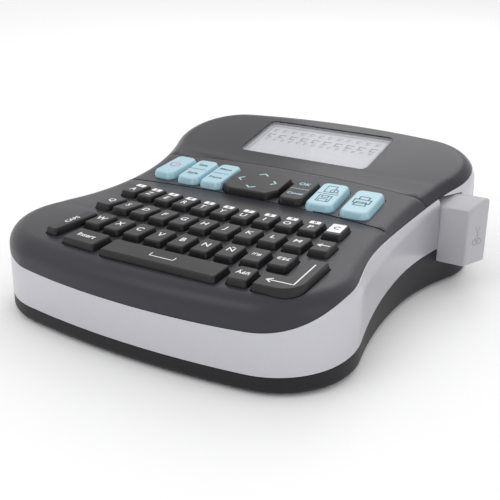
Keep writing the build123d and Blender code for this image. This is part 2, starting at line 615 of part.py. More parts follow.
def make_battery_door():
    door = battery_door_shape()
    grips = [box((-12, y, 0), (12, y + 0.9, FLOOR_Z + 0.5)) for y in (-16.0, -18.0, -20.0, -22.0)]
    for grip in grips:
        door = door - grip
    return door


# ---------------------------------------------------------------- build
def main():
    keys, wells = make_keys()
    for name, key in keys.items():
        save(key, name)
    outer, inner = case_solids()
    keyboard, display = make_top_covers(outer, wells)
    save(keyboard, "keyboard_bezel")
    save(display, "display_bezel")
    save(make_lower_shell(outer, inner), "lower_shell")
    save(make_band(outer), "silver_band")
    save(make_tape_door(outer, inner), "tape_door")
    save(make_window(), "display_window")
    save(make_panel(), "lcd_panel")
    save(make_battery_door(), "battery_door")
    save(make_cutter_button(), "cutter_button")
    save(make_cutter_blade(), "cutter_blade")
    save(make_batteries(), "batteries")
    save(make_board(), "main_board")
    save(make_cassette(), "tape_cassette")
    save(make_roller(), "drive_roller")
    save(make_print_engine(), "print_engine")
    save(make_feet(), "rubber_feet")
    save(make_screws(), "screws")


main()
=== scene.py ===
"""Desktop label maker: moulded covers, keys with their legends, display, cutter and inner parts."""

import enum
import json
import logging
import math
from dataclasses import dataclass, field
from typing import Iterable, Optional, Sequence, Union

import bmesh
import bpy
from mathutils import Matrix, Vector


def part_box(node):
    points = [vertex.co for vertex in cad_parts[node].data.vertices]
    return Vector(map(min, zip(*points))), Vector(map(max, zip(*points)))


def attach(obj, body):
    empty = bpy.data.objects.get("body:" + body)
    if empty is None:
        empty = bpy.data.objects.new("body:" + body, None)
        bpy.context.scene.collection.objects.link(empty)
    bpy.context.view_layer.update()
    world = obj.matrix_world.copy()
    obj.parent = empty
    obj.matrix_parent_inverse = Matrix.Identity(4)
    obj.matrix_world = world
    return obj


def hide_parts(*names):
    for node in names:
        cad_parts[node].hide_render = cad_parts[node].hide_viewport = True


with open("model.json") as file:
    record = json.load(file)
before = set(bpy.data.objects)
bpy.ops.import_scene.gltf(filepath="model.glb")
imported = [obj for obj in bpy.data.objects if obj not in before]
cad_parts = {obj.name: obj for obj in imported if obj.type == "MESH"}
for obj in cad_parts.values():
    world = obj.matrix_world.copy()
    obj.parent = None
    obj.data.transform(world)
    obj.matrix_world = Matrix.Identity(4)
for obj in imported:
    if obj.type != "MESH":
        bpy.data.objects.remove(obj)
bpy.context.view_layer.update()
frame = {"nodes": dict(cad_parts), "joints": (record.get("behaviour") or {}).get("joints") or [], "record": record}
LOG = logging.getLogger("label_maker")
MM = 0.001
BUMP_STRENGTH = 0.6
COAT_ROUGHNESS = 0.12
MERGE_GAP = 2e-6
FLAT_ANGLE = math.radians(0.6)
CORNER_ANGLE = math.radians(42)
INK_THICKNESS = 0.00006
LETTER_WEIGHT = 0.00004
BAR_CORNER = 0.28
WIDEST_CORNER = 1.4
ALIGNED = 0.9986
LEVEL_GAP = 0.0001
Colour = tuple[float, float, float]
Point = tuple[float, float]
Stroke = tuple[Point, ...]


# ---------------------------------------------------------------- shader maths
class Signal:
    """A shader socket that Python expressions work on."""

    def __init__(self, tree: bpy.types.NodeTree, socket: bpy.types.NodeSocket) -> None:
        """Wraps one output socket.

        Args:
            tree: The node tree that holds it.
            socket: The output socket.
        """
        self.tree = tree
        self.socket = socket

    def _math(self, operation: str, first: "Value", second: "Value") -> "Signal":
        """Adds one Math node.

        Args:
            operation: The node's operation.
            first: Its first value.
            second: Its second value.

        Returns:
            The node's result.
        """
        return make_node(self.tree, "ShaderNodeMath", {"operation": operation}, {0: first, 1: second})

    def __add__(self, other: "Value") -> "Signal":
        """Sum."""
        return self._math("ADD", self, other)

    def __radd__(self, other: "Value") -> "Signal":
        """Sum, from the right."""
        return self._math("ADD", other, self)

    def __mul__(self, other: "Value") -> "Signal":
        """Product."""
        return self._math("MULTIPLY", self, other)

    def __rmul__(self, other: "Value") -> "Signal":
        """Product, from the right."""
        return self._math("MULTIPLY", other, self)

    def above(self, level: float) -> "Signal":
        """1 where the value is above a level, 0 elsewhere."""
        return self._math("GREATER_THAN", self, level)


Value = Union[Signal, float, Sequence[float]]


def make_node(tree: bpy.types.NodeTree, kind: str, settings: dict, inputs: dict,
              output: Union[int, str] = 0) -> Signal:
    """Adds any node.

    Args:
        tree: The tree that gets it.
        kind: The node's type.
        settings: Its properties, set first.
        inputs: Values or signals for its sockets, by name or number.
        output: The output socket that is wanted.

    Returns:
        That output, as a signal.
    """
    node = tree.nodes.new(kind)
    for name, value in settings.items():
        setattr(node, name, value)
    for name, value in inputs.items():
        if isinstance(value, Signal):
            tree.links.new(value.socket, node.inputs[name])
        else:
            node.inputs[name].default_value = value
    return Signal(tree, node.outputs[output])


# ---------------------------------------------------------------- finishes
@dataclass(frozen=True)
class Finish:
    """A moulded or coated surface: its colour drifts, and its texture is a fine bump.

    Attributes:
        name: The material's name.
        colour: Linear base colour.
        roughness: Middle roughness.
        drift: How far the colour strays, as a share.
        spread: How far the roughness strays.
        grain: Grain size in metres.
        depth: Grain depth in metres.
        metallic: Metallic share.
        coat: Clear coat weight.
        specular: Specular level of the surface below the coat.
        patch: Size of the slow change of colour and roughness in metres.
    """

    name: str
    colour: Colour
    roughness: float = 0.45
    drift: float = 0.06
    spread: float = 0.08
    grain: float = 0.0006
    depth: float = 0.00002
    metallic: float = 0.0
    coat: float = 0.0
    specular: float = 0.5
    patch: float = 0.03

    def coordinates(self, tree: bpy.types.NodeTree) -> Signal:
        """Place on the piece, in metres."""
        return make_node(tree, "ShaderNodeTexCoord", {}, {}, "Object")

    def noise(self, tree: bpy.types.NodeTree, size: float, detail: float = 3.0,
              place: Optional[Signal] = None) -> Signal:
        """Noise of one feature size.

        Args:
            tree: The material's tree.
            size: The features' size in metres.
            detail: Octaves.
            place: The coordinates, or none for the piece's own.

        Returns:
            A value from 0 to 1.
        """
        where = place or self.coordinates(tree)
        return make_node(tree, "ShaderNodeTexNoise", {}, {
            "Vector": where, "Scale": 1.0 / size, "Detail": detail}, 0)

    def blend(self, tree: bpy.types.NodeTree, factor: Signal, first: Value, second: Value) -> Signal:
        """Mixes two colours by a factor."""
        return make_node(tree, "ShaderNodeMix", {"data_type": "RGBA"}, {
            "Factor": factor, 6: colour4(first), 7: colour4(second)}, 2)

    def shade(self, share: float) -> Colour:
        """The base colour times a share."""
        return tuple(c * share for c in self.colour)

    def drifting(self, tree: bpy.types.NodeTree, wide: Signal, fine: Signal,
                 weight: float) -> tuple[Signal, Signal]:
        """Colour and roughness that stray round their middle.

        Args:
            tree: The material's tree.
            wide: The slow pattern.
            fine: The fine pattern.
            weight: The slow pattern's share of the colour's change.

        Returns:
            The colour and the roughness.
        """
        mixed = wide * weight + fine * (1 - weight)
        colour = self.blend(tree, mixed, self.shade(1 - self.drift), self.shade(1 + self.drift))
        return colour, self.roughness - self.spread / 2 + wide * self.spread

    def pattern(self, tree: bpy.types.NodeTree) -> tuple[Signal, Signal, Signal]:
        """Base colour, roughness and bump height of the surface.

        Args:
            tree: The material's tree.

        Returns:
            The three signals.
        """
        wide = self.noise(tree, self.patch)
        fine = self.noise(tree, self.grain, 2.0)
        colour, roughness = self.drifting(tree, wide, fine, 0.6)
        return colour, roughness, fine

    def material(self) -> bpy.types.Material:
        """Builds the material once, and returns it each time after.

        Returns:
            The material.
        """
        known = bpy.data.materials.get(self.name)
        if known:
            return known
        made = bpy.data.materials.new(self.name)
        made.use_nodes = True
        tree = made.node_tree
        shader = next(n for n in tree.nodes if n.type == "BSDF_PRINCIPLED")
        colour, roughness, height = self.pattern(tree)
        bump = make_node(tree, "ShaderNodeBump", {}, {
            "Height": height, "Strength": BUMP_STRENGTH, "Distance": self.depth})
        for name, signal in (("Base Color", colour), ("Roughness", roughness), ("Normal", bump)):
            tree.links.new(signal.socket, shader.inputs[name])
        shader.inputs["Metallic"].default_value = self.metallic
        shader.inputs["Coat Weight"].default_value = self.coat
        shader.inputs["Coat Roughness"].default_value = COAT_ROUGHNESS
        shader.inputs["Specular IOR Level"].default_value = self.specular
        self.extras(shader)
        return made

    def extras(self, shader: bpy.types.Node) -> None:
        """Sets what only some finishes have."""


def colour4(value: Value) -> Value:
    """A colour with its alpha, or the signal itself."""
    return value if isinstance(value, Signal) else (*value, 1.0)


@dataclass(frozen=True)
class FlakePaint(Finish):
    """Satin metallic paint: fine bright flakes under a thin clear coat.

    Attributes:
        flake: Size of a flake in metres.
    """

    patch: float = 0.04
    flake: float = 0.00035

    def pattern(self, tree: bpy.types.NodeTree) -> tuple[Signal, Signal, Signal]:
        """Flakes in the colour and in the bump.

        Args:
            tree: The material's tree.

        Returns:
            Base colour, roughness and bump height.
        """
        flakes = make_node(tree, "ShaderNodeTexVoronoi", {}, {
            "Vector": self.coordinates(tree), "Scale": 1.0 / self.flake}, "Distance")
        colour, roughness = self.drifting(tree, self.noise(tree, self.patch), flakes, 0.3)
        return colour, roughness, flakes


@dataclass(frozen=True)
class RolledSteel(Finish):
    """Bare steel with rolling lines along X.

    Attributes:
        line: Width of a line in metres.
        stretch: A line's width as a share of its length.
        dark: Share of the colour that is left in the darkest line.
        dull: How much rougher the lightest line is.
    """

    line: float = 0.0005
    stretch: float = 0.04
    dark: float = 0.8
    dull: float = 0.15

    def pattern(self, tree: bpy.types.NodeTree) -> tuple[Signal, Signal, Signal]:
        """Long thin streaks.

        Args:
            tree: The material's tree.

        Returns:
            Base colour, roughness and bump height.
        """
        place = make_node(tree, "ShaderNodeMapping", {}, {
            "Vector": self.coordinates(tree), "Scale": (self.stretch, 1.0, 1.0)})
        lines = self.noise(tree, self.line, 2.0, place)
        colour = self.blend(tree, lines, self.shade(self.dark), self.colour)
        return colour, self.roughness + lines * self.dull, lines


@dataclass(frozen=True)
class SolderMask(Finish):
    """Board lacquer with raised tracks.

    Attributes:
        track: Colour of the lacquer over a track.
        density: Tracks to a metre.
        width: A track's width as a share of its spacing.
        dull: How much rougher the lacquer is over a track.
    """

    track: Colour = (0.10, 0.30, 0.10)
    density: float = 260.0
    width: float = 0.05
    dull: float = 0.1

    def pattern(self, tree: bpy.types.NodeTree) -> tuple[Signal, Signal, Signal]:
        """A brick pattern stands for the tracks.

        Args:
            tree: The material's tree.

        Returns:
            Base colour, roughness and bump height.
        """
        tracks = make_node(tree, "ShaderNodeTexBrick", {}, {
            "Vector": self.coordinates(tree), "Scale": self.density, "Mortar Size": self.width,
            "Color1": (0, 0, 0, 1), "Color2": (0, 0, 0, 1), "Mortar": (1, 1, 1, 1)}, "Fac")
        colour = self.blend(tree, tracks, self.colour, self.track)
        return colour, self.roughness + tracks * self.dull, tracks


@dataclass(frozen=True)
class CellWrap(Finish):
    """Printed wrap of a battery cell: dark, with a coppery end.

    Attributes:
        end: Colour of the end.
        pitch: From one cell to the next, end to end, in metres.
        body: The dark part's share of the pitch.
        shift: Whole pitches that are added, so that the place along a cell is never negative.
    """

    end: Colour = (0.45, 0.20, 0.07)
    pitch: float = 0.0516
    body: float = 0.68
    shift: float = 10.0

    def pattern(self, tree: bpy.types.NodeTree) -> tuple[Signal, Signal, Signal]:
        """Bands along X, one period to a cell.

        Args:
            tree: The material's tree.

        Returns:
            Base colour, roughness and bump height.
        """
        along = make_node(tree, "ShaderNodeSeparateXYZ", {}, {"Vector": self.coordinates(tree)}, "X")
        cell = make_node(tree, "ShaderNodeMath", {"operation": "FRACT"}, {
            0: along * (1 / self.pitch) + self.shift})
        fine = self.noise(tree, self.grain, 2.0)
        colour = self.blend(tree, cell.above(self.body), self.colour, self.end)
        return colour, self.roughness + fine * self.spread, fine


@dataclass(frozen=True)
class ClearPane(Finish):
    """Clear moulded window, with faint flow marks.

    Attributes:
        alpha: How much of the window itself shows.
        index: Refractive index of the clear plastic.
    """

    alpha: float = 0.16
    index: float = 1.49

    def extras(self, shader: bpy.types.Node) -> None:
        """Lets the panel behind show."""
        shader.inputs["Alpha"].default_value = self.alpha
        shader.inputs["IOR"].default_value = self.index


@dataclass(frozen=True)
class DisplayFilm(Finish):
    """Reflective display film with its grid of dots.

    Attributes:
        dot: Spacing of the dots in metres.
        gap: The gap between dots as a share of the spacing.
        dark: Share of the colour that is left in the gaps.
    """

    dot: float = 0.00055
    gap: float = 0.06
    dark: float = 0.93

    def pattern(self, tree: bpy.types.NodeTree) -> tuple[Signal, Signal, Signal]:
        """A square grid of fine lines.

        Args:
            tree: The material's tree.

        Returns:
            Base colour, roughness and bump height.
        """
        grid = make_node(tree, "ShaderNodeTexBrick", {"offset": 0.0}, {
            "Vector": self.coordinates(tree), "Scale": 1 / self.dot, "Mortar Size": self.gap,
            "Brick Width": 1.0, "Row Height": 1.0}, "Fac")
        wide = self.noise(tree, self.patch)
        colour = self.blend(tree, grid * 0.35 + wide * 0.4, self.colour, self.shade(self.dark))
        return colour, self.roughness + wide * self.spread, grid


CHARCOAL = Finish("charcoal_moulding", (0.026, 0.025, 0.032), 0.36, 0.08, 0.08, 0.0005, 0.00003,
                  specular=0.36)
GLOSS_CHARCOAL = Finish("display_moulding", (0.024, 0.023, 0.030), 0.24, 0.08, 0.06, 0.0005, 0.00002,
                        coat=0.02, specular=0.28)
KEY_CHARCOAL = Finish("key_moulding", (0.013, 0.012, 0.013), 0.36, 0.10, 0.08, 0.0004, 0.00002,
                      specular=0.34)
KEY_BLUE = Finish("blue_key_moulding", (0.36, 0.57, 0.66), 0.34, 0.04, 0.06, 0.0004, 0.00002, coat=0.15)
SILVER = FlakePaint("silver_paint_coat", (0.54, 0.54, 0.58), 0.34, metallic=0.85, coat=0.18, depth=0.00001)
SHELL_DARK = Finish("lower_shell_moulding", (0.012, 0.012, 0.014), 0.48, 0.08, 0.08, 0.0005, 0.00004,
                    specular=0.25)
BUTTON_GREY = Finish("cutter_moulding", (0.40, 0.40, 0.42), 0.40, 0.04, 0.06, 0.0005, 0.00002, coat=0.1)
BUTTON_SHADE = Finish("cutter_sign_moulding", (0.30, 0.30, 0.32), 0.45, 0.04, 0.05, 0.0004, 0.00001)
INK_WHITE = Finish("white_legend_ink", (0.86, 0.86, 0.88), 0.5, 0.03, 0.05, 0.0003, 0.000004)
INK_DARK = Finish("dark_legend_ink", (0.035, 0.07, 0.085), 0.5, 0.05, 0.05, 0.0003, 0.000004)
INK_PINK = Finish("pink_legend_ink", (0.72, 0.22, 0.30), 0.5, 0.03, 0.05, 0.0003, 0.000004)
INK_BLUE = Finish("pale_blue_legend_ink", (0.45, 0.68, 0.78), 0.5, 0.03, 0.05, 0.0003, 0.000004)
INK_GREY = Finish("display_mark_ink", (0.16, 0.17, 0.19), 0.5, 0.03, 0.05, 0.0003, 0.000004)
PANE = ClearPane("clear_window_moulding", (0.72, 0.74, 0.78), 0.06, 0.02, 0.02, 0.004, 0.000003)
FILM = DisplayFilm("display_film", (0.60, 0.61, 0.65), 0.35, spread=0.05)
STEEL = RolledSteel("rolled_steel", (0.56, 0.56, 0.58), 0.28, metallic=1.0, depth=0.00001)
MASK = SolderMask("board_solder_mask", (0.02, 0.13, 0.05), 0.35)
WRAP = CellWrap("cell_wrap_print", (0.03, 0.03, 0.035), 0.30)
CASSETTE = Finish("cassette_moulding", (0.045, 0.045, 0.05), 0.48, 0.08, 0.08, 0.0006, 0.00004)
RUBBER = Finish("soft_rubber", (0.030, 0.030, 0.030), 0.80, 0.12, 0.10, 0.0004, 0.00006)
FLOOR = Finish("studio_floor", (0.93, 0.93, 0.93), 0.7, 0.01, 0.04, 0.01, 0.00002)


# ---------------------------------------------------------------- pieces
def finish_mesh(mesh: bpy.types.Mesh, look: Finish, smooth: float = 35.0) -> None:
    """Gives a mesh its material and its shading.

    Args:
        mesh: The mesh.
        look: The finish.
        smooth: Edges sharper than this angle, in degrees, stay sharp.
    """
    mesh.materials.clear()
    mesh.materials.append(look.material())
    mesh.shade_smooth()
    mesh.set_sharp_from_angle(angle=math.radians(smooth))


def add_piece(name: str, mesh: bpy.types.Mesh, look: Finish, body: str, slot: str) -> bpy.types.Object:
    """Adds a finished piece to the scene.

    Args:
        name: The piece's name.
        mesh: Its mesh, in the row frame.
        look: Its finish.
        body: The body that it moves with.
        slot: The record's material slot; not used.

    Returns:
        The new object.
    """
    finish_mesh(mesh, look)
    piece = bpy.data.objects.new(name, mesh)
    bpy.context.scene.collection.objects.link(piece)
    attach(piece, body)
    return piece


def body_of(node: str) -> str:
    """The body that holds a CAD node."""
    bodies = frame["record"]["behaviour"]["bodies"]
    return next(name for name, nodes in bodies.items() if node in nodes)


def slot_of(node: str) -> str:
    """The material slot of a CAD node."""
    return next(s["material_slot"] for s in frame["record"]["subparts"] if s["node"] == node)


def dress(node: str, look: Finish) -> None:
    """Gives a CAD node its finish.

    Args:
        node: The CAD node.
        look: The finish.
    """
    for place in frame["nodes"][node].material_slots:
        place.material = look.material()
    LOG.info("dressed: %s", node)


@dataclass
class Moulding:
    """A moulded piece with softened edges, which stands for its CAD node.

    Attributes:
        node: The CAD node.
        look: Its finish.
        edge: Rounding of its edges in metres.
        segments: Steps of the rounding.
    """

    node: str
    look: Finish
    edge: float = 0.0003
    segments: int = 2

    def build(self) -> bpy.types.Object:
        """Merges a copy of the node's mesh, and rounds its edges.

        Returns:
            The piece.
        """
        shape = bmesh.new()
        shape.from_mesh(frame["nodes"][self.node].data)
        bmesh.ops.remove_doubles(shape, verts=shape.verts, dist=MERGE_GAP)
        bmesh.ops.dissolve_limit(shape, angle_limit=FLAT_ANGLE, verts=shape.verts, edges=shape.edges)
        name = self.node + "_moulding"
        mesh = bpy.data.meshes.new(name)
        shape.to_mesh(mesh)
        shape.free()
        piece = add_piece(name, mesh, self.look, body_of(self.node), slot_of(self.node))
        rounding = piece.modifiers.new("edge_rounding", "BEVEL")
        rounding.width = self.edge
        rounding.segments = self.segments
        rounding.limit_method = "ANGLE"
        rounding.angle_limit = CORNER_ANGLE
        rounding.use_clamp_overlap = True
        rounding.harden_normals = True
        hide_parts(self.node)
        return piece


class Mark(enum.Enum):
    """Kinds of printed mark."""

    TEXT = "text"
    LINES = "lines"
    PLATE = "plate"


@dataclass(frozen=True)
class Print:
    """One printed mark on a face.

    Attributes:
        kind: What it is made of.
        ink: Its finish.
        at: Its middle on the face, in millimetres.
        text: Its letters, for text.
        size: Letter size, or the plate's width and height, in millimetres.
        lines: Strokes, each a run of points in millimetres.
        width: Stroke width in millimetres.
        turn: Turn on the face in degrees.
        raise_mm: Height over the face in millimetres.
    """

    kind: Mark
    ink: Finish
    at: Point = (0.0, 0.0)
    text: str = ""
    size: Union[float, Point] = 4.0
    lines: tuple[Stroke, ...] = ()
    width: float = 0.34
    turn: float = 0.0
    raise_mm: float = 0.02

    def mesh(self, name: str) -> bpy.types.Mesh:
        """Builds the mark on the XY plane.

        Args:
            name: The mesh's name.

        Returns:
            The mesh, in metres.
        """
        if self.kind is Mark.TEXT:
            made = self._letters(name)
        else:
            made = self._bars(name)
        place = Matrix.Translation((self.at[0] * MM, self.at[1] * MM, self.raise_mm * MM))
        made.transform(place @ Matrix.Rotation(math.radians(self.turn), 4, "Z"))
        return made

    def _letters(self, name: str) -> bpy.types.Mesh:
        """Letters from the built-in typeface.

        Args:
            name: The mesh's name.

        Returns:
            The mesh, with its middle at the origin.
        """
        words = bpy.data.curves.new(name, "FONT")
        words.body = self.text
        words.size = float(self.size) * MM
        words.align_x = "CENTER"
        words.align_y = "CENTER"
        words.extrude = INK_THICKNESS / 2
        words.offset = LETTER_WEIGHT
        words.resolution_u = 3
        holder = bpy.data.objects.new(name, words)
        bpy.context.scene.collection.objects.link(holder)
        bpy.context.view_layer.update()
        graph = bpy.context.evaluated_depsgraph_get()
        made = bpy.data.meshes.new_from_object(holder.evaluated_get(graph))
        bpy.data.objects.remove(holder)
        return made

    def _bars(self, name: str) -> bpy.types.Mesh:
        """Bars along each stroke, or one plate.

        Args:
            name: The mesh's name.

        Returns:
            The mesh, about the origin.
        """
        shape = bmesh.new()
        if self.kind is Mark.PLATE:
            wide, high = self.size
            self._bar(shape, (-wide / 2, 0.0), (wide / 2, 0.0), high, 0.0)
        for run in self.lines:
            for start, end in zip(run, run[1:]):
                self._bar(shape, start, end, self.width, self.width / 2)
        made = bpy.data.meshes.new(name)
        shape.to_mesh(made)
        shape.free()
        return made

    def _bar(self, shape: bmesh.types.BMesh, start: Point, end: Point, width: float, over: float) -> None:
        """Adds one bar with softened corners.

        Args:
            shape: The mesh that gets it.
            start: Its first end, in millimetres.
            end: Its other end.
            width: Its width.
            over: How far it runs past both ends.
        """
        run = Vector((end[0] - start[0], end[1] - start[1], 0))
        middle = Vector(((start[0] + end[0]) / 2, (start[1] + end[1]) / 2, 0))
        length = run.length + 2 * over
        turn = Matrix.Rotation(math.atan2(run.y, run.x), 4, "Z")
        size = Matrix.Diagonal((length * MM, width * MM, INK_THICKNESS, 1.0))
        made = bmesh.ops.create_cube(shape, size=1.0, matrix=Matrix.Translation(middle * MM) @ turn @ size)
        uprights = [e for e in {e for v in made["verts"] for e in v.link_edges}
                    if abs(e.verts[0].co.z - e.verts[1].co.z) > INK_THICKNESS / 2]
        bmesh.ops.bevel(shape, geom=uprights, offset=min(width, length, WIDEST_CORNER) * BAR_CORNER * MM,
                        segments=2, profile=0.5, affect="EDGES", material=-1)


@dataclass
class Face:
    """A flat face of a CAD node, as a place for marks.

    Attributes:
        node: The CAD node.
        normal: The face's outward normal.
        turn: Turn of its X axis about the normal, in degrees.
    """

    node: str
    normal: Vector
    turn: float = 0.0

    def matrix(self) -> Matrix:
        """Frame at the middle of the face, with Z outwards.

        Returns:
            The frame.
        """
        mesh = frame["nodes"][self.node].data
        aim = self.normal.normalized()
        faces = [f for f in mesh.polygons if f.normal.dot(aim) > ALIGNED]
        out = sum((f.normal * f.area for f in faces), Vector()).normalized()
        side = Vector((1, 0, 0)) if abs(out.x) < 0.5 else Vector((0, 1, 0))
        side = (side - out * side.dot(out)).normalized()
        side = Matrix.Rotation(math.radians(self.turn), 3, out) @ side
        rear = out.cross(side)
        points = [mesh.vertices[i].co for f in faces for i in f.vertices]
        level = max(p.dot(out) for p in points)
        near = [p for p in points if p.dot(out) > level - LEVEL_GAP]
        across = [p.dot(side) for p in near]
        along = [p.dot(rear) for p in near]
        middle = (side * ((min(across) + max(across)) / 2) + rear * ((min(along) + max(along)) / 2)
                  + out * level)
        return Matrix.Translation(middle) @ Matrix((side, rear, out)).transposed().to_4x4()

    def print_on(self, name: str, marks: Iterable[Print], slot: str) -> None:
        """Prints the marks on the face, one piece for each ink.

        Args:
            name: Start of the pieces' names.
            marks: The marks.
            slot: The record's material slot.
        """
        place = self.matrix()
        groups: dict[str, list[Print]] = {}
        for mark in marks:
            groups.setdefault(mark.ink.name, []).append(mark)
        for ink, members in groups.items():
            shape = bmesh.new()
            for mark in members:
                part = mark.mesh("mark")
                shape.from_mesh(part)
                bpy.data.meshes.remove(part)
            made = bpy.data.meshes.new(f"{name}_{ink}")
            shape.to_mesh(made)
            shape.free()
            made.transform(place)
            add_piece(f"{name}_{ink}", made, members[0].ink, body_of(self.node), slot)


def ring(middle: Point, radius: float, steps: int = 12, start: float = 0.0,
         sweep: float = 360.0) -> Stroke:
    """Points round a circle, for a stroke.

    Args:
        middle: The circle's middle.
        radius: Its radius.
        steps: How many runs.
        start: First angle in degrees.
        sweep: Angle that is covered.

    Returns:
        The points.
    """
    angles = [math.radians(start + sweep * i / steps) for i in range(steps + 1)]
    return tuple((middle[0] + radius * math.cos(a), middle[1] + radius * math.sin(a)) for a in angles)


# ---------------------------------------------------------------- keyboard
def white(text: str, at: Point = (0.0, 0.0), size: float = 4.4, turn: float = 0.0) -> Print:
    """White letters."""
    return Print(Mark.TEXT, INK_WHITE, at, text, size, turn=turn)


def strokes(ink: Finish, *lines: Stroke, width: float = 0.36, at: Point = (0.0, 0.0)) -> Print:
    """Strokes in an ink."""
    return Print(Mark.LINES, ink, at, lines=lines, width=width)


def plate_with(letter: str, at: Point, size: Point, height: float) -> list[Print]:
    """A white plate with a dark letter on it.

    Args:
        letter: The letter.
        at: Their middle on the face, in millimetres.
        size: The plate's width and height.
        height: Letter size.

    Returns:
        The plate and the letter.
    """
    return [Print(Mark.PLATE, INK_WHITE, at, size=size),
            Print(Mark.TEXT, KEY_CHARCOAL, at, letter, height, raise_mm=0.07)]


def two_words(ink: Finish, upper: tuple[str, Point, float], lower: tuple[str, Point, float],
              width: float) -> list[Print]:
    """A word, a divider and a word below it.

    Args:
        ink: Their finish.
        upper: The upper word, its middle and its size.
        lower: The lower word, its middle and its size.
        width: The divider's width.

    Returns:
        The three marks.
    """
    words = [Print(Mark.TEXT, ink, at, text, size) for text, at, size in (upper, lower)]
    return [*words, strokes(ink, ((-4.2, 0.0), (4.2, 0.0)), width=width)]


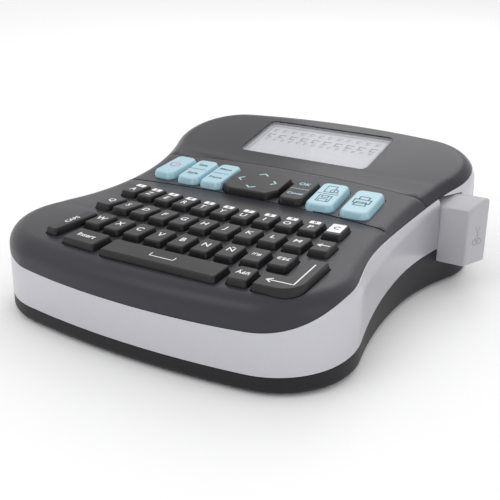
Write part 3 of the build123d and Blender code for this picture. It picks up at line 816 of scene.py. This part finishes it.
@dataclass
class Keyboard:
    """Every key, with its legend.

    Attributes:
        row_one: Letters of the rear row, which have a number plate behind them.
        row_two: Letters of the second row.
        row_three: Letters of the third row.
        edge: Rounding of the letter keys' edges.
        function_edge: Rounding of the function keys' edges.
        bow: The rows' curvature per millimetre.
        turn_share: Share of the curve's slope that the keys turn with.
        function_turns: Turn of each function key in degrees.
        blue: The keys in pale blue.
    """

    row_one: str = "AZERTYUIOP"
    row_two: str = "QSDFGHJKLM"
    row_three: str = "WXCVBN"
    edge: float = 0.00062
    function_edge: float = 0.0009
    bow: float = 0.0016
    turn_share: float = 0.6
    function_turns: dict[str, float] = field(default_factory=lambda: {
        "key_power": -2.0, "key_format": 3.0, "key_settings": 3.0, "key_confirm": 3.0,
        "key_preview": 5.0, "key_print": 4.0, "key_arrows": 3.0, "key_enter": 3.0, "key_caps": -8.0})
    blue: tuple[str, ...] = ("key_power", "key_format", "key_settings", "key_preview", "key_print")

    def names(self) -> list[str]:
        """Names of all keys."""
        return sorted(n for n in frame["nodes"] if n.startswith("key_"))

    def face(self, node: str) -> Face:
        """The top of a key.

        Args:
            node: The key's CAD node.

        Returns:
            Its top face.
        """
        joint = next(j for j in frame["joints"] if j["child"] == node + "_body")
        low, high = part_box(node)
        middle = (low.x + high.x) / 2 / MM
        row_turn = math.degrees(2 * self.bow * middle) * self.turn_share
        return Face(node, -Vector(joint["axis"]), self.function_turns.get(node, row_turn))

    def legends(self) -> dict[str, list[Print]]:
        """What is printed on each key.

        Returns:
            The marks, by key.
        """
        marks: dict[str, list[Print]] = {}
        for number, letter in enumerate(self.row_one):
            digit = plate_with(str((number + 1) % 10), (0.0, 3.3), (4.6, 2.7), 2.6)
            marks["key_" + letter.lower()] = [white(letter, (0.0, -1.7)), *digit]
        for letter in self.row_two + self.row_three:
            marks["key_" + letter.lower()] = [white(letter, (0.0, 0.3))]
        marks["key_enye"] = [white("Ñ", (0.0, 0.3))]
        marks["key_symbols"] = [white("?!'#", (0.0, 0.3), 2.7)]
        marks["key_currency"] = [white("€$£", (0.0, 0.3), 3.0)]
        marks["key_insert"] = [white("Insert", (0.0, 0.2), 3.7)]
        marks["key_accent"] = [white("Äéñ", (0.0, 0.2), 3.2)]
        marks["key_caps"] = [white("CAPS", (0.0, 0.0), 3.0, 90.0)]
        marks["key_space"] = [strokes(INK_WHITE, ((-5.2, 1.1), (-5.2, -1.0), (5.2, -1.0), (5.2, 1.1)))]
        marks["key_backspace"] = [strokes(INK_WHITE, ((2.4, 0.0), (-2.0, 0.0)),
                                          ((-0.7, 1.1), (-2.2, 0.0), (-0.7, -1.1)), width=0.6)]
        marks["key_clear"] = plate_with("C", (0.0, 0.6), (5.6, 8.4), 4.0)
        marks["key_enter"] = [strokes(INK_WHITE, ((5.0, 9.0), (5.0, -8.4), (-5.0, -8.4)),
                                      ((-3.3, -7.0), (-5.2, -8.4), (-3.3, -9.8)), width=0.5)]
        marks.update(self.function_legends())
        return marks

    def function_legends(self) -> dict[str, list[Print]]:
        """Signs on the function keys.

        Returns:
            The marks, by key.
        """
        chevron = ((-1.7, 6.3), (0.0, 7.9), (1.7, 6.3))
        chevrons = [tuple(((c * x - s * y) * 1.18, s * x + c * y) for x, y in chevron)
                    for c, s in ((1, 0), (0, 1), (-1, 0), (0, -1))]
        page = ((-2.6, 1.8), (-2.6, 8.0), (1.6, 8.0), (1.6, 1.8), (-2.6, 1.8))
        disk = ((-2.8, -7.6), (-2.8, -1.8), (2.8, -1.8), (2.8, -7.6), (-2.8, -7.6))
        printer = ((-3.6, -2.2), (-3.6, 1.4), (3.6, 1.4), (3.6, -2.2), (-3.6, -2.2))
        return {
            "key_power": [strokes(INK_PINK, ring((0.0, 0.0), 2.3, 12, 125, 290), ((0.0, 0.6), (0.0, 3.1)),
                                  width=0.5)],
            "key_format": two_words(INK_DARK, ("Size", (0.0, 4.8), 3.0), ("Style", (0.0, -4.8), 2.9), 0.3),
            "key_settings": two_words(INK_DARK, ("Menu", (0.0, 4.8), 2.8), ("Frame", (0.0, -4.8), 2.6),
                                      0.3),
            "key_arrows": [strokes(INK_BLUE, *chevrons, width=0.62)],
            "key_confirm": two_words(INK_BLUE, ("OK", (0.0, 5.2), 3.6), ("Cancel", (0.0, -5.0), 2.6), 0.25),
            "key_preview": [strokes(INK_DARK, page, ring((1.6, 3.4), 1.7), ((2.9, 2.2), (4.2, 1.2)), disk,
                                    ((-1.4, -1.8), (-1.4, -3.8), (1.4, -3.8), (1.4, -1.8)),
                                    ((-1.8, -7.6), (-1.8, -5.2), (1.8, -5.2), (1.8, -7.6))),
                            strokes(INK_DARK, ((-4.6, 0.0), (4.6, 0.0)), width=0.3)],
            "key_print": [strokes(INK_DARK, printer, ((-2.1, 1.4), (-2.1, 4.2), (2.1, 4.2), (2.1, 1.4)),
                                  ((-2.1, -1.0), (-2.7, -4.4), (2.7, -4.4), (2.1, -1.0), (-2.1, -1.0)),
                                  width=0.5)],
        }

    def build(self) -> None:
        """Builds the keys and their legends."""
        legends = self.legends()
        for node in self.names():
            look = KEY_BLUE if node in self.blue else KEY_CHARCOAL
            edge = self.function_edge if node in self.function_turns else self.edge
            Moulding(node, look, edge, 4).build()
            if node in legends:
                self.face(node).print_on(node + "_print", legends[node], slot_of(node))
        LOG.info("keyboard: %d keys", len(self.names()))


# ---------------------------------------------------------------- case
@dataclass
class Case:
    """Covers, silver band, lower shell and doors.

    Attributes:
        covers: The moulded nodes with their finish and edge rounding.
    """

    covers: tuple[tuple[str, Finish, float], ...] = (
        ("keyboard_bezel", CHARCOAL, 0.00035),
        ("display_bezel", GLOSS_CHARCOAL, 0.0003),
        ("silver_band", SILVER, 0.00025),
        ("lower_shell", SHELL_DARK, 0.00025),
        ("tape_door", CHARCOAL, 0.0003),
        ("battery_door", SHELL_DARK, 0.0003),
        ("tape_cassette", CASSETTE, 0.0004),
    )

    def build(self) -> None:
        """Builds each cover."""
        for node, look, edge in self.covers:
            Moulding(node, look, edge).build()
            LOG.info("cover: %s", node)


@dataclass
class Display:
    """Display panel, its marks and its window.

    Attributes:
        slant: Outward normal of the panel.
        rows: Rows of marks shown, each as (top, mark size, count), in millimetres.
        reach: From the middle to a row's end marks, in millimetres.
        border: Half the width and half the height of the shown frame, in millimetres.
    """

    slant: Vector = field(default_factory=lambda: Vector((0.0, -0.2367, 0.9716)))
    rows: tuple[tuple[float, float, int], ...] = ((11.4, 2.2, 12), (6.2, 3.4, 10), (1.6, 1.8, 14))
    reach: float = 28.0
    border: Point = (31.6, 14.8)

    def sign(self, x: float, top: float, size: float, kind: int) -> Print:
        """One shown mark: a top bar, a foot and a stem.

        Args:
            x: Its middle.
            top: Its upper edge.
            size: Its width.
            kind: Chooses how long the foot is.

        Returns:
            The mark.
        """
        foot = top - size * 0.8
        half = size * 0.5
        return strokes(INK_GREY, ((x - half, top), (x + half, top)),
                       ((x - half, foot), (x + size * (0.1 + 0.1 * (kind % 4)), foot)),
                       ((x - size * 0.4, top), (x - size * 0.4, foot)), width=size * 0.2)

    def build(self) -> None:
        """Dresses the panel and the window, and prints the shown marks."""
        dress("display_window", PANE)
        dress("lcd_panel", FILM)
        wide, high = self.border
        marks = [strokes(INK_GREY, ((-wide, -high), (wide, -high), (wide, high), (-wide, high),
                                    (-wide, -high)), width=0.3)]
        for top, size, count in self.rows:
            gap = 2 * self.reach / (count - 1)
            marks += [self.sign(-self.reach + place * gap, top, size, place) for place in range(count)]
        Face("lcd_panel", self.slant).print_on("display_marks", marks, "panel_grey")
        LOG.info("display: %d marks", len(marks))


@dataclass
class Cutter:
    """Push button that cuts the tape, with a scissors sign on its slanted face.

    Attributes:
        slant: Outward normal of the slanted face.
        edge: Rounding of the button's edges in metres.
    """

    slant: Vector = field(default_factory=lambda: Vector((13.0, -4.8, 0.0)).normalized())
    edge: float = 0.0012

    def build(self) -> None:
        """Builds the button, its sign and the blade."""
        Moulding("cutter_button", BUTTON_GREY, self.edge, 4).build()
        dress("cutter_blade", STEEL)
        handles = [ring((side * 1.5, -3.6), 1.25, 10) for side in (-1, 1)]
        blades = [((side * 0.9, -2.5), (side * -1.3, 3.4)) for side in (-1, 1)]
        sign = strokes(BUTTON_SHADE, *handles, *blades, width=0.34, at=(0.0, -0.4))
        Face("cutter_button", self.slant).print_on("cutter_sign", [sign], "light_button")
        LOG.info("cutter: button, sign and blade")


@dataclass
class Works:
    """Parts inside and under the case, which keep their CAD shape.

    Attributes:
        looks: Finish of each node.
    """

    looks: dict[str, Finish] = field(default_factory=lambda: {
        "batteries": WRAP, "main_board": MASK, "drive_roller": RUBBER, "print_engine": STEEL,
        "rubber_feet": RUBBER, "screws": STEEL})

    def build(self) -> None:
        """Dresses each node."""
        for node, look in self.looks.items():
            dress(node, look)


# ---------------------------------------------------------------- studio
@dataclass
class Studio:
    """Pale floor, soft lights and the camera.

    Attributes:
        eye: Where the camera stands.
        forward: Where it looks.
        roll: Its roll in degrees.
        lens: Focal length in millimetres on a sensor 36 mm wide.
        glow: Strength of the surroundings.
        lamps: Each light's name, place, side in metres and power in watts.
    """

    eye: Vector = field(default_factory=lambda: Vector((0.18558, -0.30555, 0.15252)))
    forward: Vector = field(default_factory=lambda: Vector((-0.4869, 0.7954, -0.3610)))
    roll: float = 0.67
    lens: float = 62.23
    glow: float = 0.95
    lamps: tuple[tuple[str, tuple[float, float, float], float, float], ...] = (
        ("key_light", (-0.35, -0.75, 0.75), 0.5, 1.3),
        ("side_light", (0.85, -0.25, 0.35), 0.5, 0.5),
        ("rear_light", (-0.2, 0.8, 0.8), 0.6, 1.6),
    )

    def camera(self) -> None:
        """Creates the camera."""
        ahead = self.forward.normalized()
        level = ahead.cross(Vector((0, 0, 1))).normalized()
        head = level.cross(ahead)
        angle = math.radians(self.roll)
        right = level * math.cos(angle) + head * math.sin(angle)
        top = head * math.cos(angle) - level * math.sin(angle)
        data = bpy.data.cameras.new("camera")
        data.lens = self.lens
        data.sensor_width = 36.0
        data.clip_start = 0.01
        data.clip_end = 20.0
        eye = bpy.data.objects.new("camera", data)
        turned = Matrix((right, top, -ahead)).transposed().to_4x4()
        eye.matrix_world = Matrix.Translation(self.eye) @ turned
        bpy.context.scene.collection.objects.link(eye)
        bpy.context.scene.camera = eye

    def light(self, name: str, place: Sequence[float], size: float, power: float) -> None:
        """Adds a soft square light that faces the case.

        Args:
            name: The light's name.
            place: Where it hangs.
            size: Its side in metres.
            power: Its power in watts.
        """
        data = bpy.data.lights.new(name, "AREA")
        data.size = size
        data.energy = power
        lamp = bpy.data.objects.new(name, data)
        lamp.location = place
        aim = Vector((0, 0, 0.03)) - Vector(place)
        lamp.rotation_euler = aim.to_track_quat("-Z", "Y").to_euler()
        bpy.context.scene.collection.objects.link(lamp)

    def floor(self) -> None:
        """Makes the floor."""
        shape = bmesh.new()
        bmesh.ops.create_grid(shape, x_segments=4, y_segments=4, size=4.0)
        mesh = bpy.data.meshes.new("studio_floor")
        shape.to_mesh(mesh)
        shape.free()
        finish_mesh(mesh, FLOOR)
        plane = bpy.data.objects.new("studio_floor", mesh)
        bpy.context.scene.collection.objects.link(plane)

    def world(self) -> None:
        """Even pale surroundings."""
        world = bpy.data.worlds.new("studio")
        world.use_nodes = True
        sky = world.node_tree.nodes["Background"]
        sky.inputs["Color"].default_value = (1.0, 1.0, 1.0, 1.0)
        sky.inputs["Strength"].default_value = self.glow
        bpy.context.scene.world = world

    def build(self) -> None:
        """Builds the studio."""
        self.camera()
        self.floor()
        self.world()
        for name, place, size, power in self.lamps:
            self.light(name, place, size, power)
        bpy.context.scene.view_settings.view_transform = "Standard"
        LOG.info("studio")


def main() -> None:
    """Builds the label maker and the studio."""
    logging.basicConfig(level=logging.INFO, format="%(message)s")
    Studio().build()
    Case().build()
    Keyboard().build()
    Display().build()
    Cutter().build()
    Works().build()
    LOG.info("sizes written")


if __name__ == "__main__":
    main()
